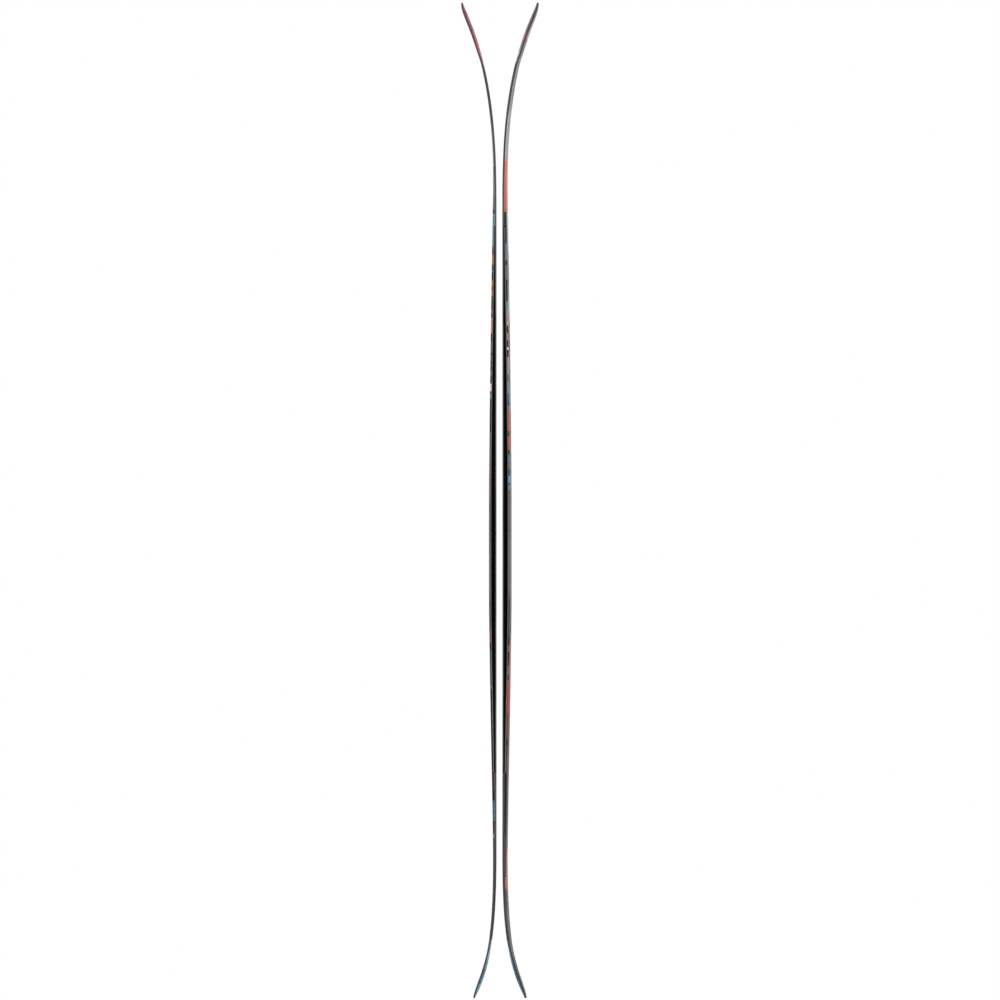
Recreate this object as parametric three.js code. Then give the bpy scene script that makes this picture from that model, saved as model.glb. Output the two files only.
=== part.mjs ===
// A pair of twin-tip powder-rocker skis, stored upright base to base, tips up.
// Every ski is the sandwich of a real one: base, steel edges, rubber strips, glass
// laminates, a carbon stringer, five core staves, a binding plate, sidewalls, tip and tail
// rims, tip and tail spacers, and a topsheet that wraps over the bevel.
// Millimetres, +Z up along the skis, origin on the floor midway between the two bases.

import * as THREE from 'three';

// ---- driving dimensions -------------------------------------------------------------
const TIP_END = 1800.9;       // ends of the outline along Z; the skis measure 1800 overall
const TAIL_END = -0.75;
const BASE_GAP = 12.3;        // between the two bases where they are flat
const TOE = THREE.MathUtils.degToRad(0.9); // each ski's turn about its long axis

const SHOVEL_Z = 1600;        // widest point of the shovel
const SHOVEL_HALF = 65;
const WAIST_Z = 830;
const WAIST_HALF = 50;
const TAIL_Z = 165;           // widest point of the tail
const TAIL_HALF = 60;
const NOSE_POWER = 2.4;       // roundness of both ends in plan

const BASE_T = 1.35;          // sintered base
const EDGE_W = 2.1;           // steel edge, body width and height
const EDGE_H = 2.1;
const FLANGE_T = 0.6;         // the edge's anchoring flange
const FLANGE_IN = 6.6;
const RUBBER_T = 0.2;
const LAM_T = 0.6;            // glass laminates
const SHEET_T = 0.6;          // topsheet
const PLATE_T = 0.5;          // binding reinforcement
const STRINGER_T = 0.4;
const BOND = 0.1;             // bond line between layers
const RIM_IN = 3.0;           // rim width along the sides
const RIM_NOSE = 9.0;         // rim width at the very end
const SIDEWALL_IN = 9.0;      // sidewall width
const WRAP_REACH = 25;        // how far in from the outline the base starts to lift
const COLUMN_IN = 14;         // a lengthwise grid line, this far in from the outline

const EDGE_Z = [108, 1676];   // the steel edges' run
const WALL_Z = [408.5, 1394.5];
const FLAT_Z = [260, 1440];   // the base's middle piece, where the ski is flat
const CORE_Z = [235, 1520];
const PLATE_Z = [560, 1120];

// Slope of the base line away from flat, as [z, slope]; the offset is its integral.
const TIP_SLOPE = [[1440, 0], [1470, 0.014], [1497, 0.025], [1533, 0.048], [1569, 0.08],
  [1605, 0.122], [1642, 0.168], [1678, 0.22], [1710, 0.275], [1732, 0.32], [1754, 0.375],
  [1770, 0.4], [1786, 0.39], [1801, 0.27]];
const TAIL_SLOPE = [[260, 0], [225, 0.015], [200, 0.03], [178, 0.046], [160, 0.062],
  [142, 0.083], [124, 0.11], [105, 0.143], [84, 0.18], [68, 0.222], [51.5, 0.28],
  [35, 0.348], [19, 0.41], [8, 0.43], [-1, 0.39]];
// Overall thickness, height of the bevelled part of the side, and lift of the outline.
const THICKNESS = [[0, 3.5], [8, 4.4], [18, 4.9], [32, 5.1], [50, 4.8], [72, 4.8],
  [96, 5.3], [124, 5.8], [190, 6.0], [260, 6.3], [330, 7.2], [408, 8.6], [500, 10.4],
  [600, 12.1], [740, 13.65], [900, 13.65], [1020, 12.75], [1140, 11.3], [1260, 9.6],
  [1395, 7.4], [1460, 6.1], [1520, 5.3], [1600, 5.2], [1680, 4.95], [1712, 4.9],
  [1740, 5.0], [1762, 5.2], [1779, 5.3], [1790, 4.9], [1796, 4.3], [1800, 3.6]];
const BEVEL = [[0, 0.2], [60, 0.25], [108, 0.8], [190, 1.1], [330, 1.4], [500, 2.1],
  [600, 2.4], [1100, 2.4], [1260, 2.1], [1395, 1.5], [1520, 1.0], [1600, 0.8], [1650, 0.6],
  [1700, 0.25], [1800, 0.2]];
const LIFT = [[0, 1.2], [12, 1.8], [30, 2.3], [50, 2.3], [72, 1.6], [96, 0.2], [104, 0],
  [1680, 0], [1712, 1.7], [1740, 2.3], [1772, 2.3], [1790, 1.8], [1800, 1.2]];

// Stations along Z that every layer shares, so that neighbouring layers stay parallel.
const STATIONS = [-0.3, 2.5, 8, 18, 32, 50, 72, 96, 104, 108, 135, 165, 200, 235, 260,
  330, 408, 409, 500, 600, 740, 900, 1020, 1140, 1260, 1394, 1396, 1460, 1520, 1524, 1564,
  1600, 1640, 1676, 1680, 1712, 1740, 1762, 1779, 1790, 1796, 1800.4];

// ---- curves ---------------------------------------------------------------------------
function table(rows, z) {
  if (z <= rows[0][0]) return rows[0][1];
  for (let i = 1; i < rows.length; i++) {
    const [z1, v1] = rows[i], [z0, v0] = rows[i - 1];
    if (z <= z1) return v0 + ((v1 - v0) * (z - z0)) / (z1 - z0);
  }
  return rows[rows.length - 1][1];
}

// Offset of the base line and its slope, positive slope where the offset grows with z.
function rocker(z) {
  const tip = z > 850, rows = tip ? TIP_SLOPE : TAIL_SLOPE, from = rows[0][0];
  const s = Math.abs(z - from);
  if (tip ? z <= from : z >= from) return [0, 0];
  let offset = 0, at = 0, slope = 0;
  for (let i = 1; i < rows.length; i++) {
    const next = Math.abs(rows[i][0] - from);
    const end = Math.min(s, next);
    const v = rows[i - 1][1] + ((rows[i][1] - rows[i - 1][1]) * (end - at)) / (next - at);
    offset += ((rows[i - 1][1] + v) / 2) * (end - at);
    slope = v;
    at = next;
    if (s <= next) break;
  }
  return [offset, tip ? slope : -slope];
}

// Half width of the outline, or of the curve a distance d inside it. end is how far that
// curve stays back from the ski's own end, where it isn't d.
function half(z, d = 0, end = d) {
  if (z > SHOVEL_Z || z < TAIL_Z) {
    const tip = z > SHOVEL_Z;
    const t = tip ? (z - SHOVEL_Z) / (TIP_END - SHOVEL_Z - end)
      : (TAIL_Z - z) / (TAIL_Z - TAIL_END - end);
    const w = (tip ? SHOVEL_HALF : TAIL_HALF) - d;
    return t >= 1 ? 0 : w * Math.sqrt(1 - t ** NOSE_POWER);
  }
  const t = z > WAIST_Z ? (z - WAIST_Z) / (SHOVEL_Z - WAIST_Z) : (WAIST_Z - z) / (WAIST_Z - TAIL_Z);
  return WAIST_HALF + ((z > WAIST_Z ? SHOVEL_HALF : TAIL_HALF) - WAIST_HALF) * t * t - d;
}

// Distance in from the outline, found on the family of inner curves above.
function inset(z, w) {
  let low = 0, high = 60;
  for (let i = 0; i < 40; i++) {
    const mid = (low + high) / 2;
    if (half(z, mid) > Math.abs(w) + 1e-9) low = mid; else high = mid;
  }
  return low;
}

const lift = (z, w) => table(LIFT, z) * Math.max(0, 1 - inset(z, w) / WRAP_REACH) ** 2;
const thickness = (z) => table(THICKNESS, z);
const bevel = (z) => table(BEVEL, z);
const baseT = (z) => Math.min(BASE_T, 0.3 * thickness(z));
const onEdges = (z) => z >= EDGE_Z[0] - 0.5 && z <= EDGE_Z[1] + 0.5;
const inWalls = (z) => z >= 408.9 && z <= 1394.1;

// The grid lines: outline, bevel line, and one further in.
const lineA = (z) => half(z);
const lineB = (z) => {
  const a = half(z);
  return Math.max(half(z, Math.max(RIM_IN, 1.2 * bevel(z) + 0.6), RIM_NOSE), 0.55 * a);
};
const lineC = (z) => Math.max(half(z, COLUMN_IN), 0.5 * lineB(z));

// Lift, straight between the grid lines.
function liftAt(z, w) {
  const c = [lineA(z), lineB(z), lineC(z), 0], v = c.map((x) => lift(z, x)), a = Math.abs(w);
  for (let i = 1; i < 4; i++) {
    if (a >= c[i] - 1e-9) return v[i] + ((v[i - 1] - v[i]) * (a - c[i])) / (c[i - 1] - c[i]);
  }
  return v[3];
}

// A point from its station, its place across the ski and its height over the base.
function point(z, w, h, lifted = true) {
  const [b, s] = rocker(z), n = Math.hypot(1, s);
  const up = h + (lifted ? liftAt(z, w) : 0);
  return [b + up / n, w, z - (up * s) / n];
}

// ---- solids ---------------------------------------------------------------------------
function volume(points, faces) {
  let v = 0;
  for (const [a, b, c] of faces) {
    const [p, q, r] = [points[a], points[b], points[c]];
    v += p[0] * (q[1] * r[2] - q[2] * r[1]) - p[1] * (q[0] * r[2] - q[2] * r[0])
      + p[2] * (q[0] * r[1] - q[1] * r[0]);
  }
  return v / 6;
}

// A closed solid through rings of [w, h] corners, one ring for each station. Every quad is
// cut from its lower w at its lower z, so that facing layers are cut alike.
function loft(rings, place, rising = () => true) {
  const n = rings[0].length, points = [], faces = [];
  rings.forEach((ring, i) => ring.forEach((p) => points.push(place(i, p))));
  for (let i = 0; i + 1 < rings.length; i++) {
    for (let j = 0; j < n; j++) {
      const k = (j + 1) % n, a = i * n + j, b = i * n + k, c = a + n, d = b + n;
      if ((rings[i][j][0] < rings[i][k][0]) === rising(i)) faces.push([a, b, d], [a, d, c]);
      else faces.push([a, b, c], [b, d, c]);
    }
  }
  for (const i of [0, rings.length - 1]) {
    const flat = rings[i].map((p) => new THREE.Vector2(p[0], p[1]));
    const cw = THREE.ShapeUtils.isClockWise(flat);
    const order = flat.map((_, j) => (cw ? n - 1 - j : j));
    const caps = THREE.ShapeUtils.triangulateShape(order.map((j) => flat[j]), []);
    for (const t of caps) {
      const f = t.map((j) => order[j] + i * n);
      if ((i === 0) !== cw) f.reverse();
      faces.push(f);
    }
  }
  if (volume(points, faces) < 0) faces.forEach((f) => f.reverse());
  return { points, faces };
}

function stations(from, to) {
  return [from, ...STATIONS.filter((z) => z > from + 0.3 && z < to - 0.3), to];
}

// A layer with the same section rule at every station; section(z) gives [w, h] corners.
function layer(from, to, section, lifted = true) {
  const zs = stations(from, to);
  return loft(zs.map(section), (i, [w, h]) => point(zs[i], w, h, lifted));
}

// Corners of one full-width sheet from its half corners: outer bottom ... outer top.
const mirrored = (bottom, top) => [
  ...bottom.map(([w, h]) => [-w, h]), ...bottom.slice().reverse().filter(([w]) => w > 0),
  ...top.slice().reverse().filter(([w]) => w > 0), ...top.map(([w, h]) => [-w, h]),
];

const strip = (inner, outer, low, high) => (z) => [
  [inner(z), low(z)], [outer(z), low(z)], [outer(z), high(z)], [inner(z), high(z)]];

const sheetUnder = (z) => thickness(z) - SHEET_T;
const topLamTop = (z) => sheetUnder(z) - BOND;
const topLamUnder = (z) => topLamTop(z) - LAM_T;
const baseTop = (z) => (onEdges(z) ? BASE_T : baseT(z));
const sideLow = (z) => (onEdges(z) ? EDGE_H + RUBBER_T + 2 * BOND : baseTop(z) + 0.15);
const bottomLamLow = (z) => baseTop(z) + (onEdges(z) ? BOND : 0.15);
const bottomLamTop = (z) => bottomLamLow(z) + LAM_T;

function topsheet() {
  return layer(STATIONS[0], STATIONS[STATIONS.length - 1], (z) => {
    const t = thickness(z), e = bevel(z), a = lineA(z), b = lineB(z), c = lineC(z);
    return mirrored(
      [[a, t - e - SHEET_T], [b, t - SHEET_T], [c, t - SHEET_T], [0, t - SHEET_T]],
      [[0, t], [c, t], [b, t], [a, t - e]]);
  });
}

// The two corners of the step over the steel edges' flanges, close to a where there is none.
const shoulder = (z, a) => (onEdges(z) ? [lineA(z) - 7.4, lineA(z) - 7.8] : [a - 0.35, a - 0.7]);

// Sheets end at the sidewalls' outer face along the run and inside the rims elsewhere.
function topLaminate() {
  return layer(12.5, 1787, (z) => {
    const hi = topLamTop(z), lo = topLamUnder(z), e = bevel(z), c = lineC(z), b = lineB(z);
    if (inWalls(z)) {
      return mirrored([[lineA(z), lo - e], [b, lo], [c, lo], [0, lo]],
        [[0, hi], [c, hi], [b, hi], [lineA(z), hi - e]]);
    }
    const a = b - 0.25, m = b - 0.75;
    return mirrored([[a, lo], [m, lo], [c, lo], [0, lo]], [[0, hi], [c, hi], [m, hi], [a, hi]]);
  });
}

function bottomLaminate() {
  return layer(12.5, 1787, (z) => {
    const c = lineC(z), edge = onEdges(z);
    const lo = bottomLamLow(z), step = edge ? sideLow(z) : lo + 0.02;
    const a = inWalls(z) ? lineA(z) : lineB(z) - 0.25;
    const [s1, in2] = shoulder(z, a);
    const top = bottomLamTop(z), topSide = step + LAM_T;
    return mirrored(
      [[a, step], [s1, step], [in2, lo], [c, lo], [0, lo]],
      [[0, top], [c, top], [in2, top], [s1, topSide], [a, topSide]]);
  });
}

const baseCenter = () => layer(FLAT_Z[0], FLAT_Z[1],
  strip((z) => -(lineA(z) - EDGE_W - BOND), (z) => lineA(z) - EDGE_W - BOND,
    () => 0, () => BASE_T), false);

// The end pieces run between the edges and, past them, out to the outline.
function baseEnd(from, to) {
  return layer(from, to, (z) => {
    const a = lineA(z) - (onEdges(z) ? EDGE_W + BOND : 0), b = lineB(z), c = lineC(z);
    const t = baseTop(z);
    return mirrored([[a, 0], [b, 0], [c, 0], [0, 0]], [[0, t], [c, t], [b, t], [a, t]]);
  });
}

function steelEdge(side) {
  return layer(EDGE_Z[0], EDGE_Z[1], (z) => {
    const a = lineA(z), fl = EDGE_H - FLANGE_T;
    return [[a - EDGE_W, 0], [a, 0], [a, EDGE_H], [a - FLANGE_IN, EDGE_H],
      [a - FLANGE_IN, fl], [a - EDGE_W, fl]].map(([w, h]) => [side * w, h]);
  }, false);
}

const rubberStrip = (side) => layer(112, 1672, (z) => {
  const a = lineA(z);
  return [[a - 7, EDGE_H + BOND], [a - 0.2, EDGE_H + BOND], [a - 0.2, EDGE_H + BOND + RUBBER_T],
    [a - 7, EDGE_H + BOND + RUBBER_T]].map(([w, h]) => [side * w, h]);
}, false);

const wallLow = (z) => sideLow(z) + LAM_T + BOND;
const sidewall = (side) => layer(WALL_Z[0] + 0.6, WALL_Z[1] - 0.6, (z) => {
  const a = lineA(z), b = lineB(z), top = topLamUnder(z) - BOND, e = bevel(z);
  return [[a - SIDEWALL_IN, wallLow(z)], [a, wallLow(z)], [a, top - e], [b, top],
    [a - SIDEWALL_IN, top]].map(([w, h]) => [side * w, h]);
}, false);

// A rim runs up one side, round the end and down the other side.
function rim(tip) {
  const run = STATIONS.filter((z) => (tip ? z >= 1396 : z <= 408));
  if (!tip) run.reverse();
  const stop = tip ? TIP_END - RIM_NOSE - 0.6 : TAIL_END + RIM_NOSE + 0.6;
  const path = run.map((z) => {
    const past = tip ? z > stop : z < stop;
    return { zo: z, wo: lineA(z), zi: past ? stop : z, wi: past ? 0.5 * lineA(z) : lineB(z) };
  });
  const both = [...path, ...path.slice().reverse().map((p) => ({ ...p, wo: -p.wo, wi: -p.wi }))];
  const edge = (z) => z > EDGE_Z[0] - 3 && z < EDGE_Z[1] + 3;
  const rings = both.map((p) => {
    const slack = p.zo > 1741 || p.zo < 49 ? 0.25 : 0;
    const low = edge(p.zo) ? EDGE_H + RUBBER_T + 2 * BOND : baseT(p.zo) + 0.15 + slack;
    const topO = thickness(p.zo) - bevel(p.zo) - SHEET_T - BOND - slack;
    const topI = thickness(p.zi) - SHEET_T - BOND - slack;
    return [[p.wo, low, p.zo], [p.wo, topO, p.zo], [p.wi, Math.max(topI, topO), p.zi],
      [p.wi, low, p.zi]];
  });
  return loft(rings, (i, [w, h, z]) => point(z, w, h), (i) => both[i + 1].zo >= both[i].zo);
}

function spacer(from, to) {
  return layer(from, to, (z) => {
    const b = lineB(z) - 0.25, c = lineC(z);
    const edge = onEdges(z), hi = topLamUnder(z) - BOND;
    const lo = bottomLamTop(z) + BOND, loSide = edge ? Math.max(wallLow(z), lo) : lo + 0.05;
    const [s1, in2] = shoulder(z, b), top = Math.max(hi, loSide + 0.25);
    return mirrored([[b, loSide], [s1, loSide], [in2, lo], [c, lo], [0, lo]],
      [[0, top], [c, top], [in2, top], [s1, top], [b, top]]);
  });
}

// The core's staves lie side by side; the two outer ones stand on the laminate's shoulder.
function stave(index) {
  const cuts = [-1, -0.6, -0.2, 0.2, 0.6, 1];
  const zs = [CORE_Z[0] + 4, 260, 330, 408, 409, 500, PLATE_Z[0] - 1, PLATE_Z[0], 600, 740, 900,
    1020, PLATE_Z[1], PLATE_Z[1] + 1, 1140, 1260, 1394, 1396, 1460, CORE_Z[1] - 1];
  const side = (z, f) => f * (lineA(z) - SIDEWALL_IN - 0.15) + (Math.abs(f) < 1 ? 0 : -0.1 * f);
  const rings = zs.map((z) => {
    const plate = z >= PLATE_Z[0] && z <= PLATE_Z[1];
    const hi = topLamUnder(z) - BOND - (plate ? PLATE_T + BOND : 0);
    const lo = bottomLamTop(z) + BOND + (index === 2 ? STRINGER_T + BOND : 0);
    const l = side(z, cuts[index]) + 0.05, r = side(z, cuts[index + 1]) - 0.05;
    return [[l, lo], [r, lo], [r, hi], [l, hi]];
  });
  return loft(rings, (i, [w, h]) => point(zs[i], w, h, false));
}

const stringer = () => layer(262, 1458,
  strip((z) => -0.2 * (lineA(z) - SIDEWALL_IN) + 0.3, (z) => 0.2 * (lineA(z) - SIDEWALL_IN) - 0.3,
    (z) => bottomLamTop(z) + BOND, (z) => bottomLamTop(z) + BOND + STRINGER_T), false);

const bindingPlate = () => layer(PLATE_Z[0] + 1, PLATE_Z[1] - 1,
  strip((z) => -(lineA(z) - SIDEWALL_IN - 1), (z) => lineA(z) - SIDEWALL_IN - 1,
    (z) => topLamUnder(z) - BOND - PLATE_T, (z) => topLamUnder(z) - BOND), false);

// ---- finishes -------------------------------------------------------------------------
const FINISH = {
  topsheet: [0x6f7a80, 0.3, 0], top_laminate: [0xb9bdb8, 0.5, 0], bottom_laminate: [0x2b2d2d, 0.5, 0],
  base_center: [0x17181a, 0.45, 0], steel_edge: [0x9a9c9e, 0.3, 1], rubber_strip: [0x111111, 0.9, 0],
  sidewall: [0x0b0b0c, 0.4, 0], rim: [0x545454, 0.5, 0], spacer: [0x3a3c3e, 0.6, 0],
  carbon_stringer: [0x1d1f22, 0.35, 0], binding_plate: [0x8f9499, 0.35, 1],
  stave_pale: [0xd9bf8c, 0.7, 0], stave_dark: [0xb48a55, 0.7, 0],
};
const BASE_ENDS = {
  left: { tip: 0xcd526c, tail: 0x6f9fb8 }, right: { tip: 0x826480, tail: 0x5c82a4 },
};

function build(side) {
  const mirror = side === 'left' ? -1 : 1;
  const group = new THREE.Group();
  group.position.x = (mirror * BASE_GAP) / 2;
  group.rotation.z = -mirror * TOE;
  const add = (name, solid, [color, roughness, metalness]) => {
    const geometry = new THREE.BufferGeometry();
    geometry.setAttribute('position', new THREE.Float32BufferAttribute(
      solid.points.flatMap(([x, y, z]) => [x * mirror, y, z]), 3));
    geometry.setIndex(solid.faces.flatMap(([a, b, c]) => (mirror < 0 ? [a, c, b] : [a, b, c])));
    geometry.computeVertexNormals();
    const mesh = new THREE.Mesh(geometry, new THREE.MeshStandardMaterial({ color, roughness, metalness }));
    mesh.name = `${side}_${name}`;
    group.add(mesh);
  };
  const ends = BASE_ENDS[side];
  add('topsheet', topsheet(), FINISH.topsheet);
  add('top_laminate', topLaminate(), FINISH.top_laminate);
  add('binding_plate', bindingPlate(), FINISH.binding_plate);
  for (let i = 0; i < 5; i++) {
    add(`core_stave_${i + 1}`, stave(i), i % 2 ? FINISH.stave_dark : FINISH.stave_pale);
  }
  add('carbon_stringer', stringer(), FINISH.carbon_stringer);
  add('bottom_laminate', bottomLaminate(), FINISH.bottom_laminate);
  add('tip_spacer', spacer(1524, 1785), FINISH.spacer);
  add('tail_spacer', spacer(14, 235), FINISH.spacer);
  add('base_center', baseCenter(), FINISH.base_center);
  add('base_tip', baseEnd(FLAT_Z[1] + 0.4, STATIONS[STATIONS.length - 1]), [ends.tip, 0.4, 0]);
  add('base_tail', baseEnd(STATIONS[0], FLAT_Z[0] - 0.4), [ends.tail, 0.4, 0]);
  add('tip_rim', rim(true), FINISH.rim);
  add('tail_rim', rim(false), FINISH.rim);
  for (const [place, s] of [['near', -1], ['far', 1]]) {
    add(`sidewall_${place}`, sidewall(s), FINISH.sidewall);
    add(`steel_edge_${place}`, steelEdge(s), FINISH.steel_edge);
    add(`rubber_strip_${place}`, rubberStrip(s), FINISH.rubber_strip);
  }
  return group;
}

const pair = new THREE.Group();
pair.name = 'ski_pair';
pair.add(build('left'), build('right'));
pair.updateMatrixWorld(true);
pair.position.z = -new THREE.Box3().setFromObject(pair, true).min.z; // tails on the floor
pair.updateMatrixWorld(true);

export default pair;
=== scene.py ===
import math

import bpy
import numpy as np
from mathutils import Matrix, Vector


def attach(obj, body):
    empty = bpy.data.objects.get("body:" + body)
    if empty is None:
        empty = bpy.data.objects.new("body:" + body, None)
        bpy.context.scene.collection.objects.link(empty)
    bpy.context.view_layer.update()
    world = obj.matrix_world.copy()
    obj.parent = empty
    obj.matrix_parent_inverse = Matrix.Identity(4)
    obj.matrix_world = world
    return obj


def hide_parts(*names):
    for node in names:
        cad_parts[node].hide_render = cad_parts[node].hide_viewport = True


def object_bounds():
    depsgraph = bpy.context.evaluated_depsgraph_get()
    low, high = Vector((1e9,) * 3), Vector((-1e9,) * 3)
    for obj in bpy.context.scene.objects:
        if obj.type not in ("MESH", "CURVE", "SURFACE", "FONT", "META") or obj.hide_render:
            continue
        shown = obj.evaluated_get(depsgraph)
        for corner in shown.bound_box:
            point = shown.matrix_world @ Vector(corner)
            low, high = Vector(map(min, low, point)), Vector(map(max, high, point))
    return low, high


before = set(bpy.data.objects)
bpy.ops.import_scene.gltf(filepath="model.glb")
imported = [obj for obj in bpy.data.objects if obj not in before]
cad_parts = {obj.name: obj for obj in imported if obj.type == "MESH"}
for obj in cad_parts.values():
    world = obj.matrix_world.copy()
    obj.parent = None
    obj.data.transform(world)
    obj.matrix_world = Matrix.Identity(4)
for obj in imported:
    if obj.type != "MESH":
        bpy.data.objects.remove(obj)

CAD_LO, CAD_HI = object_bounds()

# ---------------------------------------------------------------- the skis' curves, in mm
TIP_END, TAIL_END = 1800.9, -0.75
BASE_GAP, TOE = 12.3, math.radians(0.9)
SHOVEL_Z, SHOVEL_HALF, WAIST_Z, WAIST_HALF, TAIL_Z, TAIL_HALF = 1600, 65, 830, 50, 165, 60
NOSE_POWER = 2.4
BASE_T, EDGE_W, EDGE_H, FLANGE_T, FLANGE_IN = 1.35, 2.1, 2.1, 0.6, 6.6
RUBBER_T, LAM_T, SHEET_T, BOND = 0.2, 0.6, 0.6, 0.1
RIM_IN, RIM_NOSE, SIDEWALL_IN, WRAP_REACH = 3.0, 9.0, 9.0, 25.0
LIP_T = 0.5  # the top laminate is this much thicker where it shows over the sidewall
EDGE_Z, WALL_Z, FLAT_Z = (108, 1676), (409.1, 1393.9), (260, 1440)

TIP_SLOPE = [[1440, 0], [1470, 0.014], [1497, 0.025], [1533, 0.048], [1569, 0.08],
             [1605, 0.122], [1642, 0.168], [1678, 0.22], [1710, 0.275], [1732, 0.32],
             [1754, 0.375], [1770, 0.4], [1786, 0.39], [1801, 0.27]]
TAIL_SLOPE = [[260, 0], [225, 0.015], [200, 0.03], [178, 0.046], [160, 0.062], [142, 0.083],
              [124, 0.11], [105, 0.143], [84, 0.18], [68, 0.222], [51.5, 0.28], [35, 0.348],
              [19, 0.41], [8, 0.43], [-1, 0.39]]
THICKNESS = [[0, 3.5], [8, 4.4], [18, 4.9], [32, 5.1], [50, 4.8], [72, 4.8], [96, 5.3],
             [124, 5.8], [190, 6.0], [260, 6.3], [330, 7.2], [408, 8.6], [500, 10.4],
             [600, 12.1], [740, 13.65], [900, 13.65], [1020, 12.75], [1140, 11.3], [1260, 9.6],
             [1395, 7.4], [1460, 6.1], [1520, 5.3], [1600, 5.2], [1680, 4.95], [1712, 4.9],
             [1740, 5.0], [1762, 5.2], [1779, 5.3], [1790, 4.9], [1796, 4.3], [1800, 3.6]]
BEVEL = [[0, 0.2], [60, 0.25], [108, 0.8], [190, 1.1], [330, 1.6], [408, 2.4], [467, 2.8],
         [540, 2.8], [600, 2.5], [1020, 2.4], [1180, 2.35], [1240, 2.4], [1300, 2.55],
         [1340, 2.45], [1395, 2.2], [1460, 1.75], [1520, 1.2], [1600, 0.8], [1650, 0.6],
         [1700, 0.25], [1800, 0.2]]
LIFT = [[0, 1.2], [12, 1.8], [30, 2.3], [50, 2.3], [72, 1.6], [96, 0.2], [104, 0],
        [1680, 0], [1698, 0.6], [1712, 1.7], [1740, 2.3], [1772, 2.3], [1790, 1.8], [1800, 1.2]]


def smooth_table(rows):
    """A monotone cubic through the rows, as a fine table."""
    x, y = (np.array([r[i] for r in rows], float) for i in (0, 1))
    h, d = np.diff(x), np.diff(y) / np.diff(x)
    m = np.zeros(len(x))
    for i in range(1, len(x) - 1):
        if d[i - 1] * d[i] > 0:
            w1, w2 = 2 * h[i] + h[i - 1], h[i] + 2 * h[i - 1]
            m[i] = (w1 + w2) / (w1 / d[i - 1] + w2 / d[i])
    m[0], m[-1] = d[0], d[-1]
    g = np.arange(-2, 1803, 0.5)
    q = np.clip(g, x[0], x[-1])
    i = np.clip(np.searchsorted(x, q, "right") - 1, 0, len(x) - 2)
    t = (q - x[i]) / h[i]
    v = ((2 * t**3 - 3 * t**2 + 1) * y[i] + (t**3 - 2 * t**2 + t) * h[i] * m[i]
         + (3 * t**2 - 2 * t**3) * y[i + 1] + (t**3 - t**2) * h[i] * m[i + 1])
    return lambda z: np.interp(z, g, v)


thickness, bevel, rise = smooth_table(THICKNESS), smooth_table(BEVEL), smooth_table(LIFT)


def _rocker_tables():
    g = np.arange(-2, 1803, 0.5)
    tip = np.interp(g, [r[0] for r in TIP_SLOPE], [r[1] for r in TIP_SLOPE])
    tail_rows = TAIL_SLOPE[::-1]
    tail = -np.interp(g, [r[0] for r in tail_rows], [r[1] for r in tail_rows])
    kernel = np.hanning(25)
    slope = np.where(g > 850, tip, tail)
    inner = np.convolve(np.pad(slope, 12, mode="edge"), kernel / kernel.sum(), "valid")
    slope = inner
    mid = int(850 / 0.5) + 4
    area = np.concatenate([[0], np.cumsum((slope[1:] + slope[:-1]) / 2 * 0.5)])
    return g, slope, area - area[mid]


_G, _SLOPE, _OFFSET = _rocker_tables()


def half(z, d=0.0, end=None):
    z = np.asarray(z, float)
    end = d if end is None else end
    tip, tail = z > SHOVEL_Z, z < TAIL_Z
    t_tip = (z - SHOVEL_Z) / (TIP_END - SHOVEL_Z - end)
    t_tail = (TAIL_Z - z) / (TAIL_Z - TAIL_END - end)
    t = np.where(tip, t_tip, np.where(tail, t_tail, 0))
    top = np.where(tip, SHOVEL_HALF, TAIL_HALF) - d
    nose = top * np.sqrt(np.clip(1 - np.clip(t, 0, None) ** NOSE_POWER, 0, None))
    up = z > WAIST_Z
    s = np.where(up, (z - WAIST_Z) / (SHOVEL_Z - WAIST_Z), (WAIST_Z - z) / (WAIST_Z - TAIL_Z))
    run = WAIST_HALF + (np.where(up, SHOVEL_HALF, TAIL_HALF) - WAIST_HALF) * s * s - d
    return np.where(tip | tail, nose, run)


def inset(z, w):
    z, w = np.broadcast_arrays(np.asarray(z, float), np.abs(np.asarray(w, float)))
    low, high = np.zeros(z.shape), np.full(z.shape, 59.0)
    for _ in range(26):
        mid = (low + high) / 2
        wide = half(z, mid) > w
        low, high = np.where(wide, mid, low), np.where(wide, high, mid)
    return low


def lift(z, w):
    return rise(z) * np.clip(1 - inset(z, w) / WRAP_REACH, 0, None) ** 2


def raw_point(z, w, h, lifted):
    z, w, h = np.broadcast_arrays(*(np.asarray(v, float) for v in (z, w, h)))
    s = np.interp(z, _G, _SLOPE)
    n = np.hypot(1, s)
    up = h + (lift(z, w) if lifted else 0)
    return np.stack([np.interp(z, _G, _OFFSET) + up / n, w, z - up * s / n], -1)


_ends = raw_point(np.array([TAIL_END + 0.05, TIP_END - 0.05]), np.zeros(2), np.zeros(2), True)
_LOW, _HIGH = _ends[0, 2], _ends[1, 2]
_SCALE = (CAD_HI.z - CAD_LO.z) * 1000 / (_HIGH - _LOW)


def place(side, z, w, h, lifted=True):
    """Points of one ski in the row frame, in metres. w is across the ski, h above its base."""
    p = raw_point(z, w, h, lifted)
    out, across = p[..., 0], p[..., 1]
    x = BASE_GAP / 2 + out * math.cos(TOE) + across * math.sin(TOE)
    y = -out * math.sin(TOE) + across * math.cos(TOE)
    up = (p[..., 2] - _LOW) * _SCALE + CAD_LO.z * 1000
    return np.stack([x * (-1 if side == "left" else 1), y, up], -1) / 1000


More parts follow.
